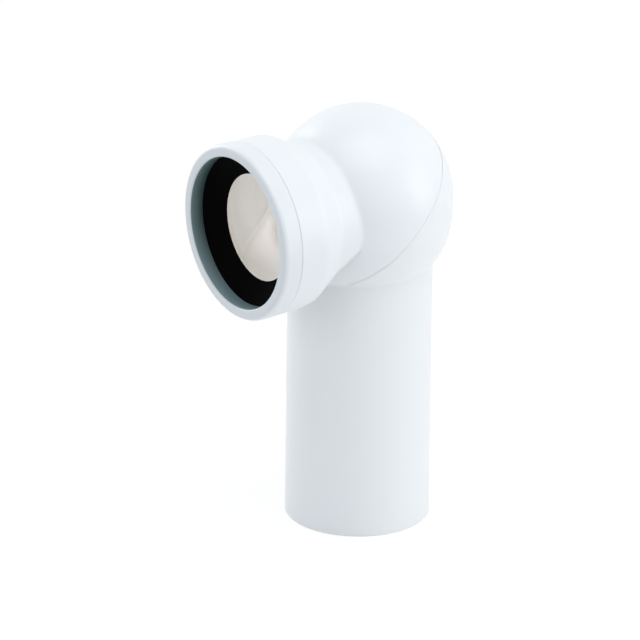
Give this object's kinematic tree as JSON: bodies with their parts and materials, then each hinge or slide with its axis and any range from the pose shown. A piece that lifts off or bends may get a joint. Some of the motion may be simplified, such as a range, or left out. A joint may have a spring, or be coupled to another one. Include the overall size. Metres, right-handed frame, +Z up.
{
  "type": "drain pipe bend",
  "caption": "White plastic right-angle drain bend: plain upright spigot, ball knuckle and a side socket whose retaining ring holds a black rubber lip seal.",
  "frame": {"origin": "centre of the spigot's square-cut bottom end, on the spigot's axis", "axes": "+Z up along the spigot's axis; the socket's mouth faces -Y; +X completes the right-handed frame"},
  "size_m": [0.1392, 0.1861, 0.329],
  "materials": {
    "white_plastic": "smooth glossy white moulding",
    "ring_plastic": "smooth white moulding, slightly less glossy",
    "black_rubber": "matt black rubber"
  },
  "bodies": {
    "root": {"bend_body": "white_plastic", "retaining_ring": "ring_plastic", "lip_seal": "black_rubber"}
  },
  "joints": []
}
